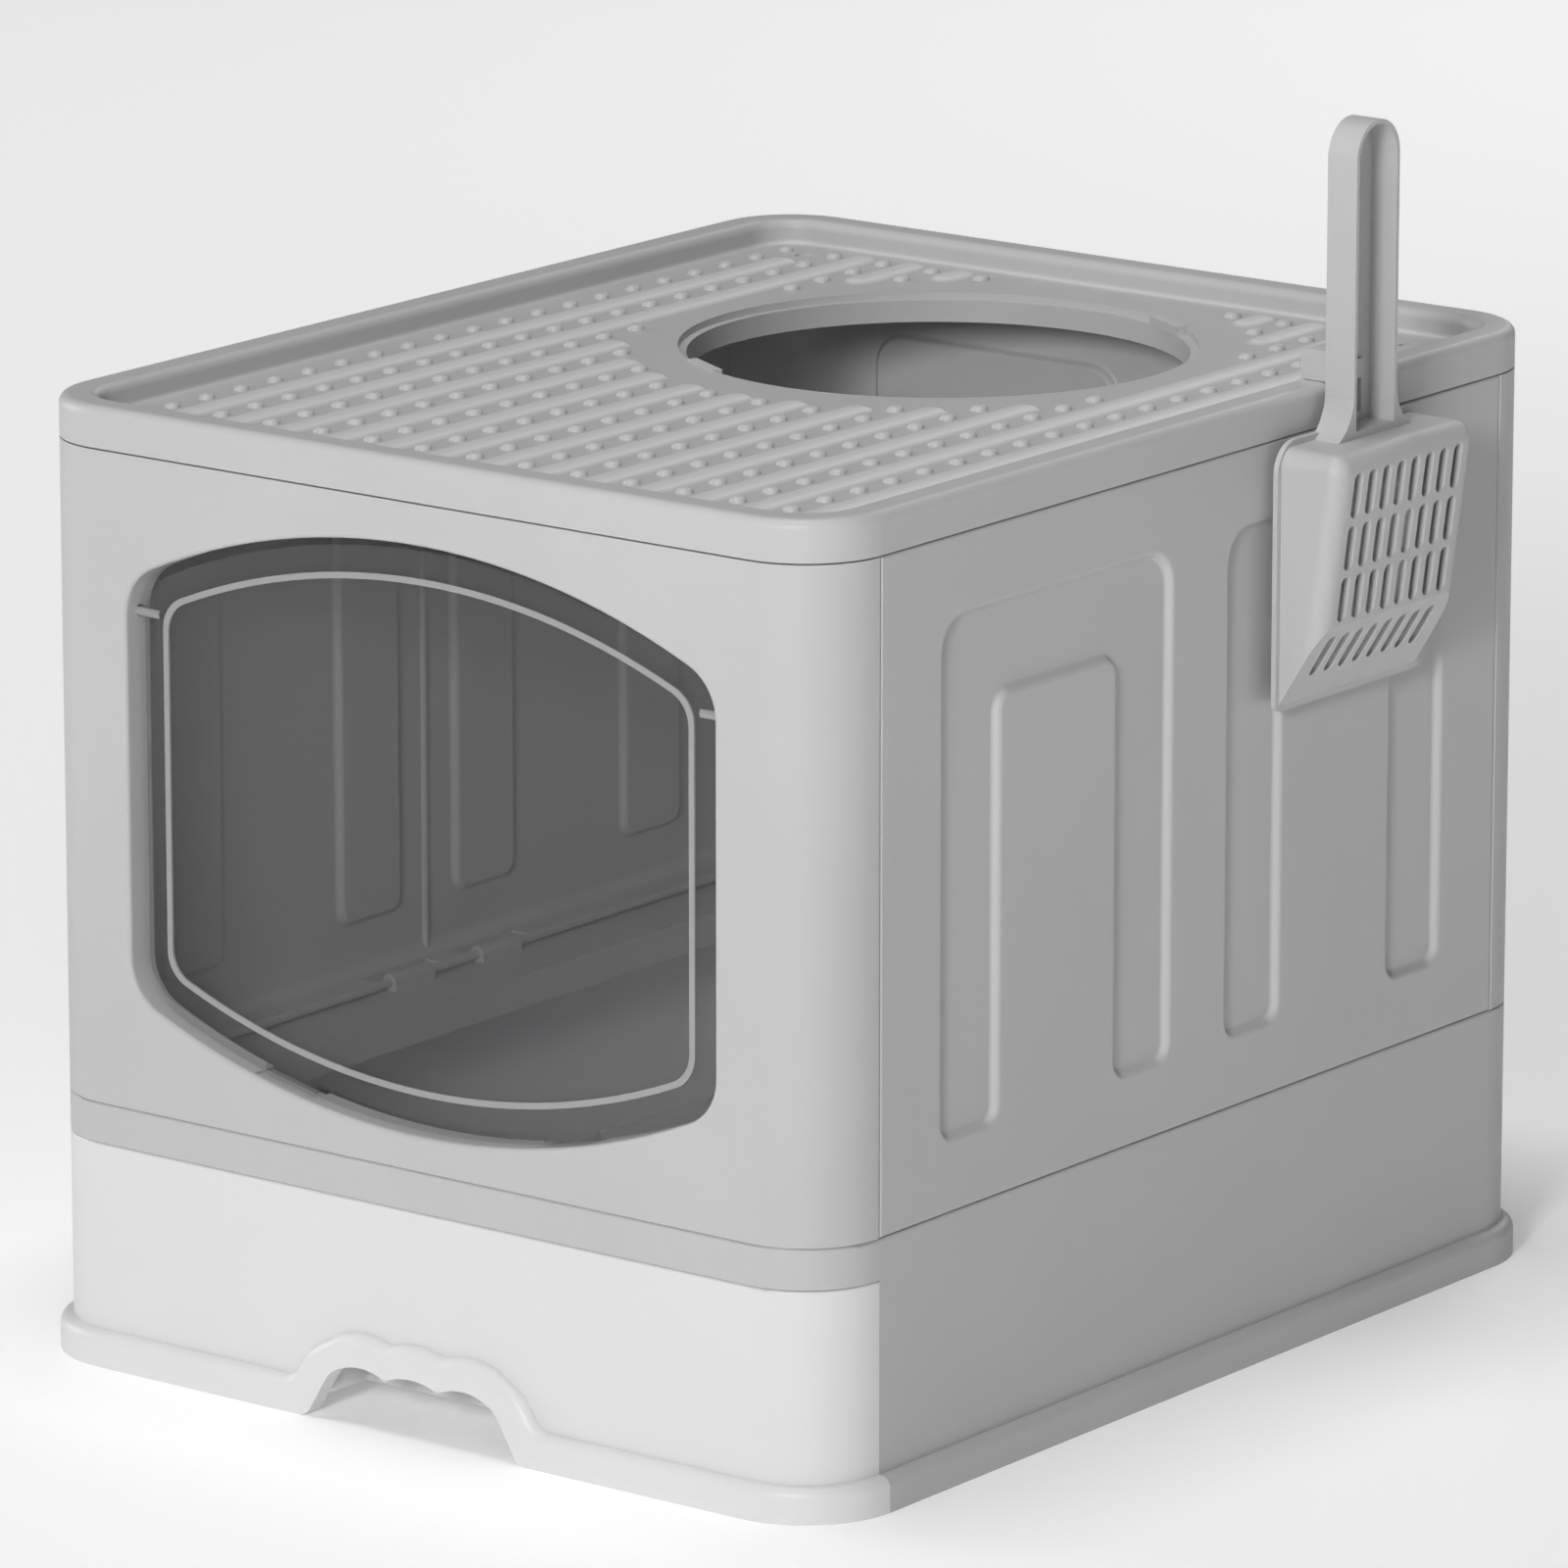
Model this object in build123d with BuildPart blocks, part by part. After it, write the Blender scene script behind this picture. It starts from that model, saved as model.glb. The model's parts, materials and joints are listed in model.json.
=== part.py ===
from build123d import *
import os
from math import asin, cos, degrees, sin, sqrt

# Hooded cat litter box: a base with a pull-out drawer, four wall panels (the side ones fold inwards),
# a lid with a round entry, a swinging smoked door, and a litter scoop on a hook at the right side.
# Millimetres. The front faces -Y, the right side +X, and the floor is Z = 0.

os.makedirs("parts", exist_ok=True)

# ------------------------------------------------------------------ driving dimensions
BODY_W = 400.0  # width over the walls
BODY_D = 492.0  # depth over the walls
CORNER_R = 36.0  # plan radius of the four corners
WALL = 3.0  # moulded wall thickness
GAP = 0.4  # gap between pieces that come apart

FOOT_OUT = 5.4  # how far the foot stands out of the walls
FOOT_H = 14.5
FOOT_ROUND = 4.2
SEAM_ROUND = 1.2  # rounding of the edge just below each seam
DRAWER_TOP = 92.6  # seam between the drawer front and the base's front band
BASE_TOP = 109.0  # seam between the base and the wall panels
PANEL_TOP = 377.6
LID_BOTTOM = 378.3
LID_TOP = 395.1
DECK_TOP = 384.6  # tread surface of the lid, inside its raised rim

SEAM_Y = BODY_D / 2 - CORNER_R  # where the front and rear panels' wrapped corners end
HINGE_X = 182.0  # fold axis of both side panels, from the middle
HINGE_Z_LEFT = 112.5
HINGE_Z_RIGHT = 119.3  # higher, so that the right panel folds down on top of the left one
SCOOP_Y = 93.6  # middle of the hanging scoop
SCOOP_BACK = 204.0  # back face of the hanging scoop, from the middle
SCOOP_DEPTH = 32.0
SCOOP_REACH = 30.94  # depth over its rounded brow

# The whole object, scoop included, is centred on the origin, so the body stands a little to the left.
HOME_X = -(SCOOP_BACK + SCOOP_REACH - BODY_W / 2 - FOOT_OUT) / 2
HOME = Plane(origin=(HOME_X, 0, 0))


def level(z):
    """Plan-view plane of the body at height z."""
    return Plane(origin=(HOME_X, 0, z))


def front(y):
    """Front-view plane at y: its own x runs along +X, its own y along +Z, and it faces -Y."""
    return Plane(origin=(HOME_X, y, 0), x_dir=(1, 0, 0), z_dir=(0, -1, 0))


def flank(side, x):
    """Side-view plane, x from the middle on the given side (1 right, -1 left), facing outwards."""
    return Plane(origin=(HOME_X + side * x, 0, 0), x_dir=(0, side, 0), z_dir=(side, 0, 0))


def plan_ring(z, height, outer, inner):
    """A band that follows the body's outline, between two offsets from it."""
    with BuildSketch(level(z)) as ring:
        RectangleRounded(BODY_W + 2 * outer, BODY_D + 2 * outer, CORNER_R + outer)
        RectangleRounded(BODY_W + 2 * inner, BODY_D + 2 * inner, CORNER_R + inner, mode=Mode.SUBTRACT)
    extrude(ring.sketch, amount=height)


def keep_in_front_of(y):
    split(bisect_by=Plane(origin=(0, y, 0), z_dir=(0, -1, 0)), keep=Keep.TOP)


def keep_behind(y):
    split(bisect_by=Plane(origin=(0, y, 0), z_dir=(0, 1, 0)), keep=Keep.TOP)


def soften_top(z):
    """Round the outer edge at the top of the walls, at height z."""
    outer_edges = edges().filter_by_position(Axis.Z, z - 0.01, z + 0.01).sort_by(Axis.Y)
    fillet(outer_edges[0], SEAM_ROUND)


def save(part, name):
    part.label = name
    export_step(part, f"parts/{name}.step")


# ------------------------------------------------------------------ base frame
LEDGE_X = 153.0  # half width of the opening that the litter drawer is used through
LEDGE_Y = 199.0
LEDGE_R = 22.0
LEDGE_T = 2.6
LIP_DROP = 14.0  # apron round that opening, hanging down into the drawer's mouth
RUNNER_Z = 2.4
RUNNER_T = 3.0
RUNNER_W = 24.0
STATIONS = (-29.0, 29.0)  # where each side panel is hinged, along the depth
STATION_L = 42.0
LUG_L = 26.0
LUG_R = 3.6
PIN_R = 1.8  # gudgeon moulded on the panel
PIN_PLAY = 0.06


def hinge_lugs(side, axis_z):
    """Two lugs on the ledge, each bored for a panel's gudgeon."""
    for y in STATIONS:
        lug_face = Plane(
            origin=(HOME_X + side * HINGE_X, y + LUG_L / 2, axis_z), x_dir=(1, 0, 0), z_dir=(0, -1, 0)
        )
        foot = axis_z - BASE_TOP + LEDGE_T / 2
        with BuildSketch(lug_face) as lug:
            Circle(LUG_R)
            with Locations((0, -foot / 2)):
                Rectangle(2 * LUG_R, foot)
            Circle(PIN_R + PIN_PLAY, mode=Mode.SUBTRACT)
        extrude(lug.sketch, amount=LUG_L)


with BuildPart(HOME) as base_frame:
    plan_ring(0, BASE_TOP, 0, -WALL)
    plan_ring(0, FOOT_H, FOOT_OUT, -WALL)
    foot_edges = base_frame.edges().filter_by_position(Axis.Z, FOOT_H - 0.01, FOOT_H + 0.01)
    wide_edges = foot_edges.filter_by(lambda e: abs(e.center().Y) > BODY_D / 2 + 1)
    wide_edges += foot_edges.filter_by(lambda e: abs(e.center().X - HOME_X) > BODY_W / 2 + 1)
    fillet(wide_edges, FOOT_ROUND)
    soften_top(BASE_TOP)
    with BuildSketch(level(BASE_TOP)):
        RectangleRounded(BODY_W - WALL, BODY_D - WALL, CORNER_R - WALL / 2)
        RectangleRounded(2 * LEDGE_X, 2 * LEDGE_Y, LEDGE_R, mode=Mode.SUBTRACT)
    extrude(amount=-LEDGE_T)
    with BuildSketch(level(BASE_TOP)):
        RectangleRounded(2 * (LEDGE_X + LEDGE_T), 2 * (LEDGE_Y + LEDGE_T), LEDGE_R + LEDGE_T)
        RectangleRounded(2 * LEDGE_X, 2 * LEDGE_Y, LEDGE_R, mode=Mode.SUBTRACT)
    extrude(amount=-LIP_DROP)
    plan_ring(RUNNER_Z, RUNNER_T, -WALL / 2, -RUNNER_W)
    # the drawer's mouth, open to the front below the band
    with Locations((0, -(BODY_D / 2 + SEAM_Y) / 2 - FOOT_OUT, DRAWER_TOP / 2)):
        Box(2 * BODY_W, BODY_D / 2 - SEAM_Y + 2 * FOOT_OUT, DRAWER_TOP, mode=Mode.SUBTRACT)
    hinge_lugs(-1, HINGE_Z_LEFT)
    hinge_lugs(1, HINGE_Z_RIGHT)
save(base_frame.part, "base_frame")

# ------------------------------------------------------------------ litter drawer
TRAY_X = 193.2  # half width outside
TRAY_BACK = 236.0
TRAY_FLOOR = 9.0
TRAY_TOP = 88.0
TRAY_T = 2.5
TRAY_R = 33.0
RECESS_X = 48.0  # finger recess behind the grip cut-out
RECESS_Y = 22.0
RECESS_TOP = 34.0
GRIP_ARC = 13.6  # half width of one finger scallop
GRIP_LOW = 22.0
GRIP_HIGH = 25.0
COLLAR = 13.5  # width of the raised edge round the cut-out


def scalloped(side_points, low, high):
    """Outline open at the floor: two swept sides and three finger scallops on top, mirrored about the middle.
    Returns the four corners where the scallops meet each other and the sides."""
    right = [(x, z) for x, z in side_points]
    left = [(-x, z) for x, z in reversed(side_points)]
    w = GRIP_ARC
    with BuildLine() as outline:
        Spline(*right, tangents=[(-1, 0), (-0.75, 0.66)])
        ThreePointArc(right[-1], (2 * w, high), (w, low))
        ThreePointArc((w, low), (0, high), (-w, low))
        ThreePointArc((-w, low), (-2 * w, high), left[0])
        Spline(*left, tangents=[(-0.75, -0.66), (-1, 0)])
        Polyline(left[-1], (left[-1][0], -5), (right[0][0], -5), right[0])
    face = make_face(outline.edges())
    return face.vertices().filter_by(lambda v: abs(v.X) < right[-1][0] + 1 and v.Y > low - 1)


def tray_outline(inset, front_y):
    back = TRAY_BACK - inset
    with Locations((0, (front_y + back) / 2)):
        RectangleRounded(2 * (TRAY_X - inset), back - front_y, TRAY_R - inset)


with BuildPart(HOME) as drawer:
    plan_ring(0, DRAWER_TOP - GAP, 0, -WALL)
    plan_ring(0, FOOT_H, FOOT_OUT, -WALL)
    with BuildSketch(front(-BODY_D / 2 - FOOT_OUT)):
        sweep_in = [(72, FOOT_H - 2), (61.5, 16.5), (53.5, 27), (41, 35)]
        fillet(scalloped(sweep_in, GRIP_LOW + COLLAR, GRIP_HIGH + COLLAR - 0.5), 4)
    extrude(amount=-FOOT_OUT - WALL / 2)
    with BuildSketch(level(-10)):
        Rectangle(2 * BODY_W, 2 * BODY_D)
    extrude(amount=10, mode=Mode.SUBTRACT)
    keep_in_front_of(-SEAM_Y - GAP / 2)
    foot_edges = drawer.edges().filter_by_position(Axis.Z, FOOT_H - 0.01, FOOT_H + 0.01)
    fillet(foot_edges.filter_by(lambda e: e.length < FOOT_OUT + 1 and abs(e.center().X - HOME_X) < 80), 8)
    foot_front = -BODY_D / 2 - FOOT_OUT
    foot_edges = drawer.edges().filter_by_position(Axis.Y, foot_front - 0.01, foot_front + 0.01)
    fillet(foot_edges.filter_by(lambda e: e.center().Z > FOOT_H - 0.1), FOOT_ROUND)
    soften_top(DRAWER_TOP - GAP)
    inner_front = -BODY_D / 2 + WALL
    with BuildSketch(level(TRAY_FLOOR)):
        tray_outline(0, inner_front - 0.5)
    extrude(amount=TRAY_TOP - TRAY_FLOOR)
    with BuildSketch(level(TRAY_FLOOR + TRAY_T)):
        tray_outline(TRAY_T, inner_front)
    extrude(amount=TRAY_TOP, mode=Mode.SUBTRACT)
    with BuildSketch(level(TRAY_FLOOR)):
        with Locations((0, inner_front + (RECESS_Y + TRAY_T) / 2)):
            Rectangle(2 * (RECESS_X + TRAY_T), RECESS_Y + TRAY_T)
    extrude(amount=RECESS_TOP + TRAY_T - TRAY_FLOOR)
    with BuildSketch(level(0)):
        with Locations((0, inner_front + RECESS_Y / 2)):
            Rectangle(2 * RECESS_X, RECESS_Y)
    extrude(amount=RECESS_TOP, mode=Mode.SUBTRACT)
    for side in (-1, 1):  # skids that ride on the base's runners
        with Locations((side * (TRAY_X - 11), 0, (RUNNER_Z + RUNNER_T + 0.8 + TRAY_FLOOR) / 2)):
            Box(8, 2 * SEAM_Y, TRAY_FLOOR - RUNNER_Z - RUNNER_T - 0.8)
    with BuildSketch(front(-BODY_D)):
        scalloped([(58, 0), (51, 5), (46, 13.5), (40.8, 20.5)], GRIP_LOW, GRIP_HIGH)
    extrude(amount=-BODY_D / 2 - WALL - 1, mode=Mode.SUBTRACT)
save(drawer.part, "drawer")

# ------------------------------------------------------------------ door opening shared by panel and door
OPEN_X = 147.4  # half width of the doorway
OPEN_TOP = 360.9
OPEN_BOTTOM = 123.4
OPEN_ARC = 332.0  # radius of its bowed top and bottom edges
OPEN_CORNER = 22.0
REVEAL_T = 2.5
REVEAL_DEPTH = 15.0
DOOR_AXIS_Z = 313.0  # pivots where the straight sides end
DOOR_AXIS_Y = -BODY_D / 2 + 9.0
DOOR_PIN_R = 2.4
DOOR_PIN_PLAY = 0.06
TAB_X = 71.0  # the door's finger tabs, and the notches for them in the sill
TAB_W = 27.0


def on_sill(width, height, rise):
    """Two rectangles lying along the bowed sill, left and right, in the current sketch. rise is from the sill up."""
    tilt = asin(TAB_X / OPEN_ARC)
    radius = OPEN_ARC - rise
    for side in (-1, 1):
        with Locations((side * radius * sin(tilt), OPEN_BOTTOM + OPEN_ARC - radius * cos(tilt))):
            Rectangle(width, height, rotation=side * degrees(tilt))


def doorway(plane, inset):
    """The bowed doorway outline, drawn smaller by inset, as a sketch."""
    arc = OPEN_ARC - inset
    middle = (OPEN_TOP + OPEN_BOTTOM) / 2
    with BuildSketch(plane) as outline:
        with Locations((0, OPEN_TOP - OPEN_ARC)):
            Circle(arc)
        with Locations((0, OPEN_BOTTOM + OPEN_ARC)):
            Circle(arc, mode=Mode.INTERSECT)
        with Locations((0, middle)):
            Rectangle(2 * (OPEN_X - inset), OPEN_TOP - OPEN_BOTTOM, mode=Mode.INTERSECT)
        fillet(outline.vertices(), OPEN_CORNER - inset / 2)
    return outline.sketch


# ------------------------------------------------------------------ front and rear panels
STEP_IN = 1.0  # the panels stand on the ledge on a foot set in from the skin
STEP_H = 10.0
STEP_T = 2.4
SKIN_BOTTOM = BASE_TOP + GAP


def wrapped_panel():
    """Skin of an end panel, wrapped round two corners, with the foot it stands on. Not yet cut to one end."""
    plan_ring(SKIN_BOTTOM, PANEL_TOP - SKIN_BOTTOM, 0, -WALL)
    plan_ring(BASE_TOP, STEP_H, -STEP_IN, -WALL - STEP_T)


def soften_ends(panel, y):
    """Round the outer upright edges where a wrapped panel ends beside the side panels."""
    ends = panel.edges().filter_by(Axis.Z).filter_by_position(Axis.Y, y - 0.01, y + 0.01)
    fillet(ends.filter_by(lambda e: abs(e.center().X - HOME_X) > BODY_W / 2 - 0.01), 0.9)


with BuildPart(HOME) as front_panel:
    wrapped_panel()
    keep_in_front_of(-SEAM_Y - GAP / 2)
    extrude(doorway(front(-BODY_D / 2 + REVEAL_DEPTH), -REVEAL_T), amount=REVEAL_DEPTH - WALL / 2)
    extrude(doorway(front(-BODY_D), 0), amount=-BODY_D, mode=Mode.SUBTRACT)
    rim_edges = front_panel.edges().filter_by_position(Axis.Y, -BODY_D / 2 - 0.01, -BODY_D / 2 + 0.01)
    inner_rim = rim_edges.filter_by(lambda e: abs(e.center().X - HOME_X) < OPEN_X + 1)
    inner_rim = inner_rim.filter_by(lambda e: OPEN_BOTTOM - 1 < e.center().Z < OPEN_TOP + 1)
    fillet(inner_rim, 2.0)
    with BuildSketch(front(-BODY_D / 2 + 3)):
        on_sill(TAB_W + 2.4, 2.4, 0.2)
    extrude(amount=-REVEAL_DEPTH, mode=Mode.SUBTRACT)
    pivot_line = Plane(origin=(HOME_X, DOOR_AXIS_Y, DOOR_AXIS_Z), x_dir=(0, 1, 0), z_dir=(1, 0, 0))
    with BuildSketch(pivot_line):
        Circle(DOOR_PIN_R + DOOR_PIN_PLAY)
    extrude(amount=OPEN_X + 2 * REVEAL_T, both=True, mode=Mode.SUBTRACT)
    soften_ends(front_panel, -SEAM_Y - GAP / 2)
save(front_panel.part, "front_panel")

# ------------------------------------------------------------------ side and rear panel relief
RELIEF = 3.0  # depth of the moulded arches
BAND = 37.8  # width of an arch's leg
SIDE_ARCH_MID = 95.0  # middle of each arch from the panel's middle
SIDE_ARCH_HALF = 76.0
REAR_ARCH_MID = 78.0
REAR_ARCH_HALF = 63.0
REAR_BAND = 31.0
ARCH_TOP = 347.0
ARCH_BOTTOM = 138.0
ARCH_ROUND = 15.0
LEG_ROUND = 8.0
INNER_ROUND = 7.0
ARCH_SLOPE = 35.0  # slope of the arches' sides, from square to the skin
ARCH_WALL = 1.5  # how far the boss inside is wider than the pocket
ARCH_RIM_R = 2.6
ARCH_FLOOR_R = 2.0
FOLD_FOOT_T = 4.0  # inward foot of a side panel, rounded at the fold axis


def arch_tool(middle, half, band, grow):
    """Two arches with open feet, side by side, lying on XY and narrowing upwards. grow widens them all round."""
    top = ARCH_TOP + grow
    bottom = ARCH_BOTTOM - grow
    inner_top = ARCH_TOP - band - grow
    with BuildPart() as tool:
        with BuildSketch() as outline:
            for side in (-1, 1):
                with Locations((side * middle, (top + bottom) / 2)):
                    Rectangle(2 * (half + grow), top - bottom)
                with Locations((side * middle, (inner_top + bottom) / 2)):
                    Rectangle(2 * (half - band - grow), inner_top - bottom, mode=Mode.SUBTRACT)
            for height, radius in ((top, ARCH_ROUND), (inner_top, INNER_ROUND), (bottom, LEG_ROUND)):
                fillet(outline.vertices().filter_by_position(Axis.Y, height - 0.01, height + 0.01), radius)
        extrude(outline.sketch, amount=RELIEF, taper=ARCH_SLOPE)
    return tool.part


def press_arches(outer_plane, boss, pocket, reach):
    """Arches pressed into the skin with sloping sides: a boss inside and a pocket outside, of the same wall."""
    inwards = Plane(origin=outer_plane.origin - HOME.origin, x_dir=-outer_plane.x_dir, z_dir=-outer_plane.z_dir)
    add(inwards.offset(WALL).location * boss)
    add(inwards.location * pocket, mode=Mode.SUBTRACT)
    for depth, radius in ((0, ARCH_RIM_R), (RELIEF, ARCH_FLOOR_R), (WALL + RELIEF, ARCH_FLOOR_R)):
        fillet(edges().filter_by(lambda e: on_arch(outer_plane, e, depth, reach)), radius)


def on_arch(outer_plane, edge, depth, reach):
    """Whether an edge outlines the arches at the given depth below the outer face."""
    spot = outer_plane.to_local_coords(edge.center())
    in_field = abs(spot.X) < reach + 2 and ARCH_BOTTOM - 2 < spot.Y < ARCH_TOP + 2
    return in_field and abs(spot.Z + depth) < 0.01


rear_boss = arch_tool(REAR_ARCH_MID, REAR_ARCH_HALF, REAR_BAND, ARCH_WALL)
rear_pocket = arch_tool(REAR_ARCH_MID, REAR_ARCH_HALF, REAR_BAND, 0)
side_boss = arch_tool(SIDE_ARCH_MID, SIDE_ARCH_HALF, BAND, ARCH_WALL)
side_pocket = arch_tool(SIDE_ARCH_MID, SIDE_ARCH_HALF, BAND, 0)

with BuildPart(HOME) as rear_panel:
    wrapped_panel()
    keep_behind(SEAM_Y + GAP / 2)
    rear_face = Plane(origin=(HOME_X, BODY_D / 2, 0), x_dir=(-1, 0, 0), z_dir=(0, 1, 0))
    press_arches(rear_face, rear_boss, rear_pocket, REAR_ARCH_MID + REAR_ARCH_HALF)
    soften_ends(rear_panel, SEAM_Y + GAP / 2)
save(rear_panel.part, "rear_panel")


def side_panel(side, axis_z):
    """A side wall with its moulded arches, middle rib and the hinged foot that it folds on."""
    outer = flank(side, BODY_W / 2)
    length = 2 * (SEAM_Y - GAP / 2)
    with BuildPart(HOME) as panel:
        with BuildSketch(outer) as skin:
            with Locations((0, (SKIN_BOTTOM + PANEL_TOP) / 2)):
                Rectangle(length, PANEL_TOP - SKIN_BOTTOM)
        extrude(skin.sketch, amount=-WALL)
        fillet(panel.faces().filter_by(Plane.YZ).sort_by(Axis.X)[-1 if side > 0 else 0].edges(), 1.0)
        foot_end = Plane(
            origin=(HOME_X + side * HINGE_X, length / 2, axis_z), x_dir=(side, 0, 0), z_dir=(0, -side, 0)
        )
        wall_x = BODY_W / 2 - WALL - HINGE_X
        with BuildSketch(foot_end) as foot:
            Circle(FOLD_FOOT_T / 2)
            with Locations((wall_x / 2 + 0.5, 0)):
                Rectangle(wall_x + 1, FOLD_FOOT_T)
        extrude(foot.sketch, amount=side * length)
        cove = panel.edges().filter_by(Axis.Y)
        cove = cove.filter_by(lambda e: abs(abs(e.center().X - HOME_X) - BODY_W / 2 + WALL) < 0.01)
        cove_z = axis_z + FOLD_FOOT_T / 2
        fillet(cove.filter_by_position(Axis.Z, cove_z - 0.01, cove_z + 0.01), 6)
        press_arches(outer, side_boss, side_pocket, SIDE_ARCH_MID + SIDE_ARCH_HALF)
        with BuildSketch(level(axis_z)) as rib:
            with Locations((side * (BODY_W / 2 - WALL), 0)):
                Circle(1.7)
        extrude(rib.sketch, amount=PANEL_TOP - 12 - axis_z)
        for y in STATIONS:
            with Locations((side * (HINGE_X + 2), y, axis_z)):
                Box(13, STATION_L, 4 * PIN_R, mode=Mode.SUBTRACT)
            pin_end = Plane(
                origin=(HOME_X + side * HINGE_X, y - STATION_L / 2 - 1, axis_z), x_dir=(1, 0, 0), z_dir=(0, 1, 0)
            )
            with BuildSketch(pin_end) as pin:
                Circle(PIN_R)
            extrude(pin.sketch, amount=STATION_L + 2)
    return panel.part


save(side_panel(-1, HINGE_Z_LEFT), "left_side_panel")
save(side_panel(1, HINGE_Z_RIGHT), "right_side_panel")

# ------------------------------------------------------------------ lid
RIM_W = 16.0
DECK_T = 3.0
HOLE_Y = 95.0  # round entry, towards the back
HOLE_R = 103.5
REBATE_R = 107.0
REBATE_H = 3.0
COLLAR_BOTTOM = 372.5
COLLAR_T = 2.5
RIB_PITCH = 25.95
RIB_W = 13.5
RIB_H = 1.7
RIB_SLOPE = 60.0  # slope of a rib's sides, from upright
RIB_CROWN_R = 11.0
RIB_FRONT = -210.0
RIB_BACK = 222.0
CLEAR_R = 129.0  # no tread inside this circle round the entry
LUG_ANGLE = 62.0  # two lugs on the step round the entry, for its cover
LUG_W = 25.0
LUG_H = 3.6
LUG_SUNK = 0.5
DIMPLE_Y = 209.5  # moulding marks in the rear corners of the deck
DIMPLE_R = 4.5
DIMPLE_DEEP = 0.8
HOOK_SLOT_W = 11.0
HOOK_SLOT_L = 6.0
HOOK_X = 191.5
LIP_Y = 240.0  # locating lips inside the front and rear panels
LIP_X = 150.0
LIP_T = 2.2
LIP_LOW = 372.5


def rib_stretches(x):
    """Where the tread rib at x runs, from front to back: whole, or interrupted round the entry."""
    if abs(x) > 5.5 * RIB_PITCH:
        return [(RIB_FRONT, DIMPLE_Y - 2.5 * DIMPLE_R)]
    if abs(x) >= CLEAR_R:
        return [(RIB_FRONT, RIB_BACK)]
    reach = sqrt(CLEAR_R**2 - x**2)
    stretches = [(RIB_FRONT, HOLE_Y - reach), (HOLE_Y + reach, RIB_BACK)]
    return [(y0, y1) for y0, y1 in stretches if y1 - y0 > 1.2 * RIB_W]


with BuildPart(HOME) as lid:
    with BuildSketch(level(LID_BOTTOM)):
        RectangleRounded(BODY_W, BODY_D, CORNER_R)
    extrude(amount=LID_TOP - LID_BOTTOM)
    with BuildSketch(level(DECK_TOP)):
        RectangleRounded(BODY_W - 2 * RIM_W, BODY_D - 2 * RIM_W, CORNER_R - RIM_W)
    extrude(amount=LID_TOP, mode=Mode.SUBTRACT)
    top_edges = lid.edges().filter_by_position(Axis.Z, LID_TOP - 0.01, LID_TOP + 0.01)
    fillet(top_edges, 4.0)
    deck_edges = lid.edges().filter_by_position(Axis.Z, DECK_TOP - 0.01, DECK_TOP + 0.01)
    fillet(deck_edges, 2.0)
    with BuildSketch(level(LID_BOTTOM)):
        RectangleRounded(BODY_W - 2 * WALL, BODY_D - 2 * WALL, CORNER_R - WALL)
    extrude(amount=DECK_TOP - DECK_T - LID_BOTTOM, mode=Mode.SUBTRACT)
    inner = RIM_W - WALL
    with BuildSketch(level(DECK_TOP - DECK_T)):
        RectangleRounded(BODY_W - 2 * WALL, BODY_D - 2 * WALL, CORNER_R - WALL)
        RectangleRounded(BODY_W - 2 * inner, BODY_D - 2 * inner, CORNER_R - inner, mode=Mode.SUBTRACT)
    extrude(amount=LID_TOP - WALL - DECK_TOP + DECK_T, mode=Mode.SUBTRACT)
    with BuildSketch(level(COLLAR_BOTTOM)):
        with Locations((0, HOLE_Y)):
            Circle(HOLE_R + COLLAR_T)
    extrude(amount=DECK_TOP - DECK_T - COLLAR_BOTTOM + 0.5)
    with BuildSketch(level(DECK_TOP - REBATE_H - COLLAR_T)):
        with Locations((0, HOLE_Y)):
            Circle(REBATE_R + COLLAR_T)
    extrude(amount=COLLAR_T + 0.5)
    with BuildSketch(level(COLLAR_BOTTOM - 1)):
        with Locations((0, HOLE_Y)):
            Circle(HOLE_R)
    extrude(amount=LID_TOP, mode=Mode.SUBTRACT)
    with BuildSketch(level(DECK_TOP - REBATE_H)):
        with Locations((0, HOLE_Y)):
            Circle(REBATE_R)
    extrude(amount=LID_TOP, mode=Mode.SUBTRACT)
    with Locations((0, HOLE_Y, DECK_TOP - REBATE_H + (LUG_H - LUG_SUNK) / 2)):
        with PolarLocations((HOLE_R + REBATE_R) / 2, 2, start_angle=LUG_ANGLE):
            Box(REBATE_R - HOLE_R + 1, LUG_W, LUG_H + LUG_SUNK)
    for side in (-1, 1):
        with Locations((side * 6 * RIB_PITCH, DIMPLE_Y, DECK_TOP)):
            Cylinder(DIMPLE_R, 2 * DIMPLE_DEEP, mode=Mode.SUBTRACT)
    for side in (-1, 1):  # lips that drop inside the front and rear panels
        with Locations((0, side * (LIP_Y + LIP_T / 2), (LIP_LOW + LID_TOP - WALL + 0.5) / 2)):
            Box(2 * LIP_X, LIP_T, LID_TOP - WALL + 0.5 - LIP_LOW)
    with Locations((HOOK_X, SCOOP_Y, LID_TOP)):  # slot that the scoop hook plugs into
        Box(HOOK_SLOT_L, HOOK_SLOT_W, 4 * WALL, mode=Mode.SUBTRACT)
    for x in [k * RIB_PITCH for k in range(-6, 7)]:
        for y0, y1 in rib_stretches(x):
            with BuildSketch(level(DECK_TOP)) as tread_rib:
                with Locations((x, (y0 + y1) / 2)):
                    SlotOverall(y1 - y0, RIB_W, rotation=90)
            extrude(tread_rib.sketch, amount=RIB_H, taper=RIB_SLOPE)
    rib_top = DECK_TOP + RIB_H
    fillet(lid.edges().filter_by_position(Axis.Z, rib_top - 0.01, rib_top + 0.01), RIB_CROWN_R)
save(lid.part, "lid")

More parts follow.
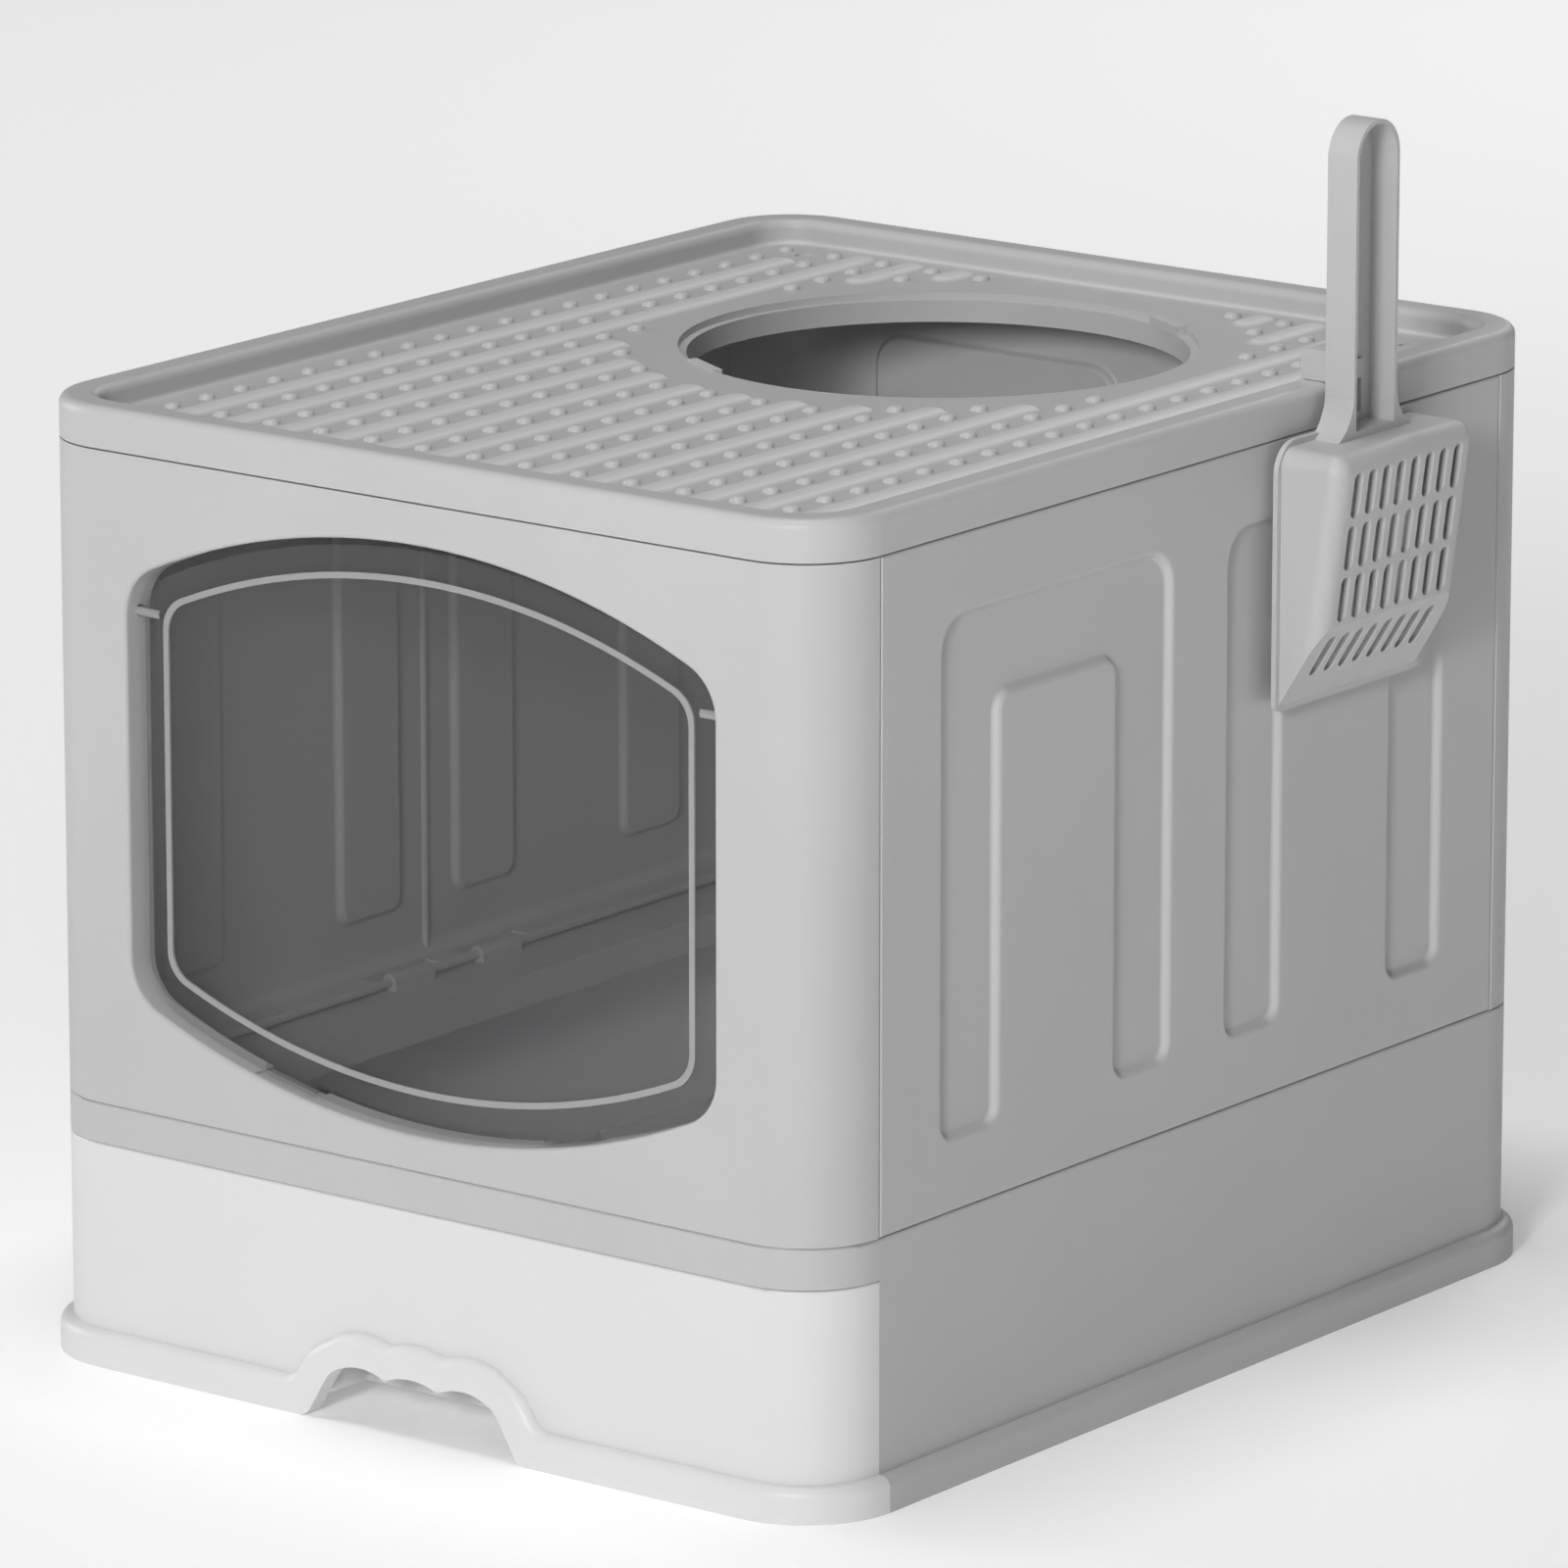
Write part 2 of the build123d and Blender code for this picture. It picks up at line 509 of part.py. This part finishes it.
# ------------------------------------------------------------------ swinging door
DOOR_INSET = 4.0
DOOR_T = 2.5
BEAD_INSET = 14.4
BEAD_W = 2.6
BEAD_H = 1.4
TAB_H = 7.0  # finger tabs on the lower edge
TAB_GAP = 1.2

with BuildPart(HOME) as door:
    face_y = DOOR_AXIS_Y - DOOR_T / 2
    extrude(doorway(front(face_y), DOOR_INSET), amount=-DOOR_T)
    with BuildSketch(front(face_y)):
        on_sill(TAB_W, TAB_H, TAB_GAP + TAB_H / 2)
    extrude(amount=-DOOR_T)
    with BuildSketch(Plane(origin=(HOME_X, DOOR_AXIS_Y, DOOR_AXIS_Z), x_dir=(0, 1, 0), z_dir=(1, 0, 0))):
        Circle(DOOR_PIN_R)
    extrude(amount=OPEN_X + REVEAL_T, both=True)
    with Locations((0, DOOR_AXIS_Y - DOOR_T / 2 - 5, DOOR_AXIS_Z), (0, DOOR_AXIS_Y + DOOR_T / 2 + 5, DOOR_AXIS_Z)):
        Box(2 * (OPEN_X - DOOR_INSET - 8), 10, 3 * DOOR_PIN_R, mode=Mode.SUBTRACT)
    extrude(doorway(front(face_y), BEAD_INSET), amount=BEAD_H)
    extrude(doorway(front(face_y), BEAD_INSET + BEAD_W), amount=BEAD_H + 1, mode=Mode.SUBTRACT)
save(door.part, "door")

# ------------------------------------------------------------------ hook the scoop hangs on
HOOK_W = 14.0
PEG_LOW = 396.5
PEG_HIGH = 403.2
PLUG_PLAY = 0.3

with BuildPart(HOME) as scoop_hook:
    with BuildSketch(front(SCOOP_Y + HOOK_W / 2)) as hook_side:
        with BuildLine():
            Polyline(
                (186.5, LID_TOP + 0.3),
                (SCOOP_BACK - 2, LID_TOP + 0.3),
                (SCOOP_BACK - 2, PEG_LOW),
                (SCOOP_BACK + 3.6, PEG_LOW),
                (SCOOP_BACK + 3.6, PEG_HIGH + 1.2),
                (SCOOP_BACK + 2.4, PEG_HIGH + 1.2),
                (SCOOP_BACK + 2.4, PEG_HIGH),
                (SCOOP_BACK - 2, PEG_HIGH),
                (SCOOP_BACK - 2, 408),
                (186.5, 408),
                close=True,
            )
        make_face()
        crown = hook_side.vertices().filter_by_position(Axis.Y, 407, 409)
        fillet(crown.sort_by(Axis.X)[0], 4)
        fillet(hook_side.vertices().filter_by_position(Axis.Y, 407, 409).sort_by(Axis.X)[-1], 1.5)
    extrude(amount=HOOK_W)
    plug_low = LID_TOP - 9
    with Locations((HOOK_X, SCOOP_Y, (plug_low + LID_TOP + 1) / 2)):
        Box(HOOK_SLOT_L - 2 * PLUG_PLAY, HOOK_SLOT_W - 2 * PLUG_PLAY, LID_TOP + 1 - plug_low)
save(scoop_hook.part, "scoop_hook")

# ------------------------------------------------------------------ litter scoop
BOWL_W = 96.0
BOWL_T = 2.6
BOWL_TOP = 376.0
BOWL_KNEE = (226.4, 304.5)  # where the sloping front turns back to the tip
BOWL_TIP = (SCOOP_BACK + 1.5, 270.5)
FLANGE_W = 101.0
FLANGE_T = 2.2
FLANGE_TOP = 378.5
FLANGE_BOTTOM = 269.0
SLOT_PITCH = 10.0
SLOT_W = 5.5
SLOT_COUNT = 8
SLOT_ROWS = ((358.7, 18.2), (337.0, 18.2), (315.6, 18.2), (291.5, 17.0))  # height of the middle, length
HANDLE_W = 30.0
HANDLE_D = 14.0
HANDLE_TOP = 503.0
HANDLE_T = 1.8
FLARE = 12.0
FLARE_TOP = 397.0
HANGING_SLOT_Z = 480.2
HANGING_SLOT_L = 20.5
HANGING_SLOT_W = 13.0
KEYHOLE_LOW = 382.0
KEYHOLE_HIGH = PEG_HIGH + 0.3


def handle_outline(plane, inset):
    """The handle seen from the side of the box: straight sides and a round top."""
    half = HANDLE_W / 2 - inset
    middle = HANDLE_TOP - HANDLE_W / 2
    low = BOWL_TOP - 1 + 2 * inset
    with BuildSketch(plane) as outline:
        with Locations((SCOOP_Y, middle)):
            Circle(half)
        with Locations((SCOOP_Y, (low + middle) / 2)):
            Rectangle(2 * half, middle - low)
    return outline.sketch


def on_slope(edge):
    """Whether an edge lies on the outside of the bowl's sloping front or of its turned-back tip."""
    spot = edge.center()
    brow = (SCOOP_BACK + SCOOP_DEPTH, BOWL_TOP - 0.5)
    for (x0, z0), (x1, z1) in ((brow, BOWL_KNEE), (BOWL_KNEE, BOWL_TIP)):
        run = sqrt((x1 - x0) ** 2 + (z1 - z0) ** 2)
        off = ((spot.X - HOME_X - x0) * (z1 - z0) - (spot.Z - z0) * (x1 - x0)) / run
        if abs(off) < 0.02 and min(z0, z1) < spot.Z < max(z0, z1):
            return True
    return False


with BuildPart(HOME) as scoop:
    with BuildSketch(front(SCOOP_Y + BOWL_W / 2)):
        with BuildLine():
            Polyline(
                (SCOOP_BACK, BOWL_TOP),
                (SCOOP_BACK + SCOOP_DEPTH, BOWL_TOP - 0.5),
                BOWL_KNEE,
                BOWL_TIP,
                (SCOOP_BACK, BOWL_TIP[1]),
                close=True,
            )
        make_face()
    extrude(amount=BOWL_W)
    bowl_back = HOME_X + SCOOP_BACK
    rounded = scoop.edges().filter_by(lambda e: e.center().X > bowl_back + 6)
    ends = rounded.filter_by(lambda e: abs(e.center().Y - SCOOP_Y) > 1 and e.center().Z > BOWL_KNEE[1])
    brow = scoop.edges().filter_by(Axis.Y).sort_by(Axis.X)[-1]
    fillet(ends + [brow], 7.5)
    offset(amount=-BOWL_T, openings=scoop.faces().filter_by(Plane.YZ).sort_by(Axis.X)[0])
    with BuildSketch(flank(1, SCOOP_BACK)) as flange:
        with Locations((SCOOP_Y, (FLANGE_TOP + FLANGE_BOTTOM) / 2)):
            Rectangle(FLANGE_W, FLANGE_TOP - FLANGE_BOTTOM)
        fillet(flange.vertices().sort_by(Axis.Y)[-2:], 13)
        fillet(flange.vertices().sort_by(Axis.Y)[:2], 3)
        with Locations((SCOOP_Y, (BOWL_TOP + BOWL_TIP[1]) / 2)):
            Rectangle(BOWL_W - 2 * BOWL_T, BOWL_TOP - BOWL_TIP[1] - 2 * BOWL_T, mode=Mode.SUBTRACT)
    extrude(amount=FLANGE_T)
    for z, length in SLOT_ROWS:
        with BuildSketch(flank(1, SCOOP_BACK + SCOOP_DEPTH + 2)):
            with Locations((SCOOP_Y, z)):
                with GridLocations(SLOT_PITCH, 0, SLOT_COUNT, 1):
                    SlotOverall(length, SLOT_W, rotation=90)
        extrude(amount=-SCOOP_DEPTH + FLANGE_T - 1, mode=Mode.SUBTRACT)
    slot_edges = scoop.edges().filter_by(lambda e: e.length < 20 and abs(e.center().Y - SCOOP_Y) < BOWL_W / 2 - 6)
    fillet(slot_edges.filter_by(on_slope), 0.5)
    with BuildSketch(flank(1, SCOOP_BACK)) as flare:
        for side in (-1, 1):
            with BuildLine() as foot_curve:
                edge = side * HANDLE_W / 2 + SCOOP_Y
                out = edge + side * FLARE
                ThreePointArc((edge, FLARE_TOP), (edge + side * FLARE / 4, BOWL_TOP + 7), (out, BOWL_TOP - 1))
                Polyline((out, BOWL_TOP - 1), (edge - side * 2, BOWL_TOP - 1), (edge - side * 2, FLARE_TOP))
                Line((edge - side * 2, FLARE_TOP), (edge, FLARE_TOP))
            make_face(foot_curve.edges())
    extrude(amount=HANDLE_D)
    extrude(handle_outline(flank(1, SCOOP_BACK), 0), amount=HANDLE_D)
    extrude(handle_outline(flank(1, SCOOP_BACK + HANDLE_T), HANDLE_T), amount=HANDLE_D, mode=Mode.SUBTRACT)
    with BuildSketch(flank(1, SCOOP_BACK - 1)):
        with Locations((SCOOP_Y, HANGING_SLOT_Z)):
            SlotOverall(HANGING_SLOT_L, HANGING_SLOT_W, rotation=90)
        with Locations((SCOOP_Y, (KEYHOLE_LOW + KEYHOLE_HIGH) / 2)):
            RectangleRounded(HOOK_W + 1.4, KEYHOLE_HIGH - KEYHOLE_LOW, 1)
    extrude(amount=HANDLE_T + 2, mode=Mode.SUBTRACT)
save(scoop.part, "scoop")
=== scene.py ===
import json
import math

import bmesh
import bpy
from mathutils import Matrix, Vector


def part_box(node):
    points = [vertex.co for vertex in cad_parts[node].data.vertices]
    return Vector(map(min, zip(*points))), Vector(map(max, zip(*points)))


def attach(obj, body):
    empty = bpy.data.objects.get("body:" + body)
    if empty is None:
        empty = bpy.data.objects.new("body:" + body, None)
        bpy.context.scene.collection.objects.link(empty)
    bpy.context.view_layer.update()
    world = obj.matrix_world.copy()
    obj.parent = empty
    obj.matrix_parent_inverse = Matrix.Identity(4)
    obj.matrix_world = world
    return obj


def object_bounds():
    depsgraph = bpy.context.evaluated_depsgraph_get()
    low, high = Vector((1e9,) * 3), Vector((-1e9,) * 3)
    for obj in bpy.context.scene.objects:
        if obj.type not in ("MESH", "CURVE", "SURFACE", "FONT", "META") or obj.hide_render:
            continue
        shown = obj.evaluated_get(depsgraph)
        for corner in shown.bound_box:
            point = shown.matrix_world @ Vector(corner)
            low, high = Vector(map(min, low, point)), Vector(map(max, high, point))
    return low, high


# Hooded cat litter box: grey moulded shell, white litter drawer, smoked swing door and a scoop on its hook.
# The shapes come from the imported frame. This script adds the tread bumps on the lid, the finishes, the light
# and the camera.

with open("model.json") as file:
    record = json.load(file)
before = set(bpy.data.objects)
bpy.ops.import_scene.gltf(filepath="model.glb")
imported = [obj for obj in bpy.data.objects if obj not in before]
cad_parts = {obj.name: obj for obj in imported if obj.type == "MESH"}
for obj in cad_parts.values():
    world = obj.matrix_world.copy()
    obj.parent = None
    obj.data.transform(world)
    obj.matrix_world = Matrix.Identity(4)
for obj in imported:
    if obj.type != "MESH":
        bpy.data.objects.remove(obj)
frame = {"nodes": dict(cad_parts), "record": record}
cad_low, cad_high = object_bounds()
nodes = frame["nodes"]
openings = {o["name"]: o["box_m"] for o in frame["record"]["physics"]["openings"]}

MM = 0.001

# ------------------------------------------------------------------ finishes
SHELL_GREY = (0.50, 0.50, 0.505)
SHELL_GREY_SOFT = (0.485, 0.485, 0.49)
# lighter grey painted on the upward faces of the tread ribs as a highlight
RIB_HIGHLIGHT_GREY = (0.62, 0.62, 0.625)
TRAY_WHITE = (0.70, 0.70, 0.705)
TRAY_WHITE_SOFT = (0.685, 0.685, 0.69)
SMOKE = (0.10, 0.10, 0.105)
SMOKE_SOFT = (0.12, 0.12, 0.125)
SMOKE_ALPHA = 0.24
BEAD_GREY = (0.42, 0.42, 0.425)
BEAD_ALPHA = 0.72
BEAD_DEPTH = 0.9 * MM  # how much of the door's bead is frosted, from its top down
BEAD_FADE = 0.3 * MM
SATIN = 0.46  # roughness of the shell
SATIN_TRAY = 0.40
SHELL_GRAIN = 0.010 * MM
TRAY_GRAIN = 0.006 * MM
RIB_HIGHLIGHT_HEIGHTS = (0.4 * MM, 1.9 * MM)  # heights above the deck between which the upward faces of the tread get a painted highlight
RIB_HIGHLIGHT_FADE = 0.5 * MM
RIB_HIGHLIGHT_FACING = (0.55, 0.8)  # upward part of the normal, where the painted highlight begins and where it is full
PLASTIC_IOR = 1.48
CLEAR_IOR = 1.49
SCUFF_SPREAD = 0.05  # how far scuffs move the roughness, either way
WIPE_ROUGHNESS = (0.05, 0.11)
DRIFT_SCALE = 9.0  # this and the next four are cells of noise in a metre
SCUFF_SCALE = 130.0
GRAIN_SCALE = 1500.0
SMOKE_SCALE = 12.0
WIPE_SCALE = 35.0
DRIFT_MIDDLE = (0.35, 0.65)  # the values of the noise that are stretched over the whole range
MARKS_MIDDLE = (0.3, 0.7)


def new_material(name):
    material = bpy.data.materials.new(name)
    material.use_nodes = True
    tree = material.node_tree
    tree.nodes.clear()
    output = tree.nodes.new("ShaderNodeOutputMaterial")
    shader = tree.nodes.new("ShaderNodeBsdfPrincipled")
    tree.links.new(shader.outputs["BSDF"], output.inputs["Surface"])
    return material, tree, shader


def noise(tree, coords, scale, detail, roughness=0.5):
    texture = tree.nodes.new("ShaderNodeTexNoise")
    texture.inputs["Scale"].default_value = scale
    texture.inputs["Detail"].default_value = detail
    texture.inputs["Roughness"].default_value = roughness
    tree.links.new(coords, texture.inputs["Vector"])
    return texture.outputs["Fac"]


def mapped(tree, value, low, high, out_low, out_high):
    remap = tree.nodes.new("ShaderNodeMapRange")
    for socket, number in zip(("From Min", "From Max", "To Min", "To Max"), (low, high, out_low, out_high)):
        remap.inputs[socket].default_value = number
    tree.links.new(value, remap.inputs["Value"])
    return remap.outputs["Result"]


def two_tones(tree, factor, one, other):
    """Blend from one tone to the other by factor. Each tone is a colour or the output of another node."""
    tone = tree.nodes.new("ShaderNodeMix")
    tone.data_type = "RGBA"
    tree.links.new(factor, tone.inputs["Factor"])
    for socket, value in (("A", one), ("B", other)):
        if isinstance(value, tuple):
            tone.inputs[socket].default_value = (*value, 1)
        else:
            tree.links.new(value, tone.inputs[socket])
    return tone.outputs["Result"]


def moulded_plastic(name, color, soft_color, roughness, grain_depth):
    """Satin moulded plastic: slow tone drift of the melt, a fine spark-eroded grain, faint scuffs."""
    material, tree, shader = new_material(name)
    coords = tree.nodes.new("ShaderNodeTexCoord").outputs["Object"]
    drift = noise(tree, coords, DRIFT_SCALE, detail=2.0)
    tone = two_tones(tree, mapped(tree, drift, *DRIFT_MIDDLE, 0, 1), color, soft_color)
    tree.links.new(tone, shader.inputs["Base Color"])
    scuffs = noise(tree, coords, SCUFF_SCALE, detail=5.0, roughness=0.6)
    rough = mapped(tree, scuffs, *MARKS_MIDDLE, roughness - SCUFF_SPREAD, roughness + SCUFF_SPREAD)
    tree.links.new(rough, shader.inputs["Roughness"])
    grain = noise(tree, coords, GRAIN_SCALE, detail=3.0)
    bump = tree.nodes.new("ShaderNodeBump")
    bump.inputs["Strength"].default_value = 1.0
    bump.inputs["Distance"].default_value = grain_depth
    tree.links.new(grain, bump.inputs["Height"])
    tree.links.new(bump.outputs["Normal"], shader.inputs["Normal"])
    shader.inputs["IOR"].default_value = PLASTIC_IOR
    return material


def product(tree, one, other):
    times = tree.nodes.new("ShaderNodeMath")
    times.operation = "MULTIPLY"
    tree.links.new(one, times.inputs[0])
    tree.links.new(other, times.inputs[1])
    return times.outputs["Value"]


def painted_highlight_band(material, low, high, fade, color):
    """Painted highlight: lighten the upward faces between two heights, so the tread ribs look as if they catch
    more light.
    """
    tree = material.node_tree
    coords = tree.nodes.new("ShaderNodeTexCoord").outputs["Object"]
    split = tree.nodes.new("ShaderNodeSeparateXYZ")
    tree.links.new(coords, split.inputs["Vector"])
    rising = mapped(tree, split.outputs["Z"], low, low + fade, 0, 1)
    falling = mapped(tree, split.outputs["Z"], high, high + fade, 1, 0)
    facing = tree.nodes.new("ShaderNodeSeparateXYZ")
    tree.links.new(tree.nodes.new("ShaderNodeTexCoord").outputs["Normal"], facing.inputs["Vector"])
    upward = mapped(tree, facing.outputs["Z"], *RIB_HIGHLIGHT_FACING, 0, 1)
    band = product(tree, product(tree, rising, falling), upward)
    shader = next(n for n in tree.nodes if n.type == "BSDF_PRINCIPLED")
    under = shader.inputs["Base Color"].links[0].from_socket
    tree.links.new(two_tones(tree, band, under, color), shader.inputs["Base Color"])


def smoked_plastic(name, bead_y):
    """Clear plastic, lightly smoked and polished, with faint wipe marks, and frosted in front of bead_y."""
    material, tree, shader = new_material(name)
    coords = tree.nodes.new("ShaderNodeTexCoord").outputs["Object"]
    smoke = two_tones(tree, noise(tree, coords, SMOKE_SCALE, detail=2.0), SMOKE, SMOKE_SOFT)
    split = tree.nodes.new("ShaderNodeSeparateXYZ")
    tree.links.new(coords, split.inputs["Vector"])
    frosted = mapped(tree, split.outputs["Y"], bead_y, bead_y + BEAD_FADE, 1, 0)
    tree.links.new(two_tones(tree, frosted, smoke, BEAD_GREY), shader.inputs["Base Color"])
    wipes = noise(tree, coords, WIPE_SCALE, detail=4.0)
    tree.links.new(mapped(tree, wipes, *MARKS_MIDDLE, *WIPE_ROUGHNESS), shader.inputs["Roughness"])
    tree.links.new(mapped(tree, frosted, 0, 1, SMOKE_ALPHA, BEAD_ALPHA), shader.inputs["Alpha"])
    shader.inputs["IOR"].default_value = CLEAR_IOR
    return material


shell_grey = moulded_plastic("shell_grey", SHELL_GREY, SHELL_GREY_SOFT, SATIN, SHELL_GRAIN)
tray_white = moulded_plastic("tray_white", TRAY_WHITE, TRAY_WHITE_SOFT, SATIN_TRAY, TRAY_GRAIN)
smoked_clear = smoked_plastic("smoked_clear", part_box("door")[0].y + BEAD_DEPTH)

lid_low, lid_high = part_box("lid")
DECK_BELOW_RIM = 10.5 * MM
deck_z = lid_high.z - DECK_BELOW_RIM
lid_grey = moulded_plastic("lid_grey", SHELL_GREY, SHELL_GREY_SOFT, SATIN, SHELL_GRAIN)
# painted highlight: the upward faces of the tread ribs are lightened as if they catch more light
painted_highlight_band(lid_grey, deck_z + RIB_HIGHLIGHT_HEIGHTS[0], deck_z + RIB_HIGHLIGHT_HEIGHTS[1], RIB_HIGHLIGHT_FADE, RIB_HIGHLIGHT_GREY)

finishes = {
    "base_frame": shell_grey,
    "front_panel": shell_grey,
    "rear_panel": shell_grey,
    "left_side_panel": shell_grey,
    "right_side_panel": shell_grey,
    "lid": lid_grey,
    "scoop_hook": shell_grey,
    "scoop": shell_grey,
    "drawer": tray_white,
    "door": smoked_clear,
}
for name, material in finishes.items():
    nodes[name].data.materials.clear()
    nodes[name].data.materials.append(material)

# ------------------------------------------------------------------ tread bumps on the lid
RIB_PITCH = 25.95 * MM  # the lid's ribs; the bumps stand in the channels between them
BUMP_PITCH = 21.25 * MM
BUMP_R = 3.6 * MM
BUMP_H = 2.4 * MM
BUMP_SUNK = 0.3  # part of its height by which a bump reaches into the deck
BUMP_COLUMNS = range(-7, 7)  # the channels, counted from the middle of the lid
BUMP_ROWS = range(-9, 11)  # from front to back
CLEAR_R = 127.0 * MM  # none inside this circle round the entry

lid_x = (lid_low.x + lid_high.x) / 2
entry_low, entry_high = openings["top_entry"]
entry = Vector(((entry_low[0] + entry_high[0]) / 2, (entry_low[1] + entry_high[1]) / 2))


def add_dome(mesh, centre, radius, height, rings=5, sides=20):
    """A low round-topped bump whose foot is set slightly into the surface it stands on."""
    foot = BUMP_SUNK * height
    loops = []
    for i in range(rings):
        angle = math.pi / 2 * i / rings
        r = radius * math.cos(angle)
        z = height * math.sin(angle)
        loops.append([
            mesh.verts.new(centre + Vector((r * math.cos(turn), r * math.sin(turn), z)))
            for turn in [2 * math.pi * k / sides for k in range(sides)]
        ])
    top = mesh.verts.new(centre + Vector((0, 0, height)))
    skirt = [mesh.verts.new(v.co - Vector((0, 0, foot))) for v in loops[0]]
    for low, high in zip([skirt] + loops[:-1], loops):
        for k in range(sides):
            after = (k + 1) % sides
            mesh.faces.new((low[k], low[after], high[after], high[k]))
    for k in range(sides):
        mesh.faces.new((loops[-1][k], loops[-1][(k + 1) % sides], top))
    mesh.faces.new(list(reversed(skirt)))


def make_tread_bumps():
    mesh = bmesh.new()
    for column in BUMP_COLUMNS:
        for row in BUMP_ROWS:
            spot = Vector((lid_x + (column + 0.5) * RIB_PITCH, row * BUMP_PITCH))
            if (spot - entry).length > CLEAR_R:
                add_dome(mesh, Vector((spot.x, spot.y, deck_z)), BUMP_R, BUMP_H)
    data = bpy.data.meshes.new("tread_bumps")
    mesh.to_mesh(data)
    mesh.free()
    for face in data.polygons:
        face.use_smooth = True
    bumps = bpy.data.objects.new("tread_bumps", data)
    bpy.context.scene.collection.objects.link(bumps)
    data.materials.append(shell_grey)
    return bumps


tread_bumps = make_tread_bumps()
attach(tread_bumps, "lid")

# ------------------------------------------------------------------ floor
FLOOR_SIZE = 400.0
FLOOR_COLOR = (0.9, 0.9, 0.9)
FLOOR_ROUGHNESS = 0.9
FLOOR_GLOW = 0.16  # emission under the object
BACKDROP_GLOW = 0.95  # emission far away, which whitens the background
GLOW_NEAR = 0.5  # distances between which the one changes into the other
GLOW_FAR = 8.0


def make_floor():
    data = bpy.data.meshes.new("floor")
    half = FLOOR_SIZE / 2
    corners = [(-half, -half, 0), (half, -half, 0), (half, half, 0), (-half, half, 0)]
    data.from_pydata(corners, [], [(0, 1, 2, 3)])
    floor = bpy.data.objects.new("floor", data)
    bpy.context.scene.collection.objects.link(floor)
    material, tree, shader = new_material("floor_paper")
    shader.inputs["Base Color"].default_value = (*FLOOR_COLOR, 1)
    shader.inputs["Roughness"].default_value = FLOOR_ROUGHNESS
    shader.inputs["Emission Color"].default_value = (1, 1, 1, 1)
    coords = tree.nodes.new("ShaderNodeTexCoord").outputs["Object"]
    distance = tree.nodes.new("ShaderNodeVectorMath")
    distance.operation = "LENGTH"
    tree.links.new(coords, distance.inputs[0])
    glow = mapped(tree, distance.outputs["Value"], GLOW_NEAR, GLOW_FAR, FLOOR_GLOW, BACKDROP_GLOW)
    tree.links.new(glow, shader.inputs["Emission Strength"])
    data.materials.append(material)
    return floor


make_floor()

# ------------------------------------------------------------------ light
WORLD_STRENGTH = 0.02
world = bpy.data.worlds.new("studio")
bpy.context.scene.world = world
world.use_nodes = True
world.node_tree.nodes["Background"].inputs["Color"].default_value = (1, 1, 1, 1)
world.node_tree.nodes["Background"].inputs["Strength"].default_value = WORLD_STRENGTH

LIGHT_AIM = 0.2  # height that the lights point at
LIGHT_DISTANCE = 4.0
middle = Vector(((cad_low.x + cad_high.x) / 2, (cad_low.y + cad_high.y) / 2, LIGHT_AIM))


def soft_light(name, azimuth, elevation, size, watts):
    """A square area light aimed at the object. Azimuth 0 is straight in front, 90 at the right side."""
    turn, rise = math.radians(azimuth), math.radians(elevation)
    away = Vector((math.sin(turn) * math.cos(rise), -math.cos(turn) * math.cos(rise), math.sin(rise)))
    data = bpy.data.lights.new(name, "AREA")
    data.size = size
    data.energy = watts
    lamp = bpy.data.objects.new(name, data)
    lamp.location = middle + away * LIGHT_DISTANCE
    lamp.rotation_euler = away.to_track_quat("Z", "Y").to_euler()
    bpy.context.scene.collection.objects.link(lamp)


# azimuth and elevation in degrees, size in metres, watts
soft_light("key", 21, 20, 0.7, 82)
soft_light("top", 0, 84, 1.6, 69)
soft_light("left", -75, 15, 1.6, 44)
soft_light("upper", 45, 30, 1.6, 10)
soft_light("back", 195, 25, 1.6, 20)

# ------------------------------------------------------------------ camera
# the view, fitted to the photo without lens shift
CAMERA_AZIMUTH = 37.41
CAMERA_TILT = 14.05
CAMERA_PLACE = Vector((2.5767, -3.3975, 1.2865))
CAMERA_LENS = 248.2  # in mm, like the sensor
CAMERA_SENSOR = 36.0

camera_data = bpy.data.cameras.new("camera")
camera_data.sensor_width = CAMERA_SENSOR
camera_data.lens = CAMERA_LENS
camera = bpy.data.objects.new("camera", camera_data)
camera.location = CAMERA_PLACE
camera.rotation_euler = (math.radians(90 - CAMERA_TILT), 0, math.radians(CAMERA_AZIMUTH))
bpy.context.scene.collection.objects.link(camera)
bpy.context.scene.camera = camera

bpy.context.scene.view_settings.view_transform = "Standard"
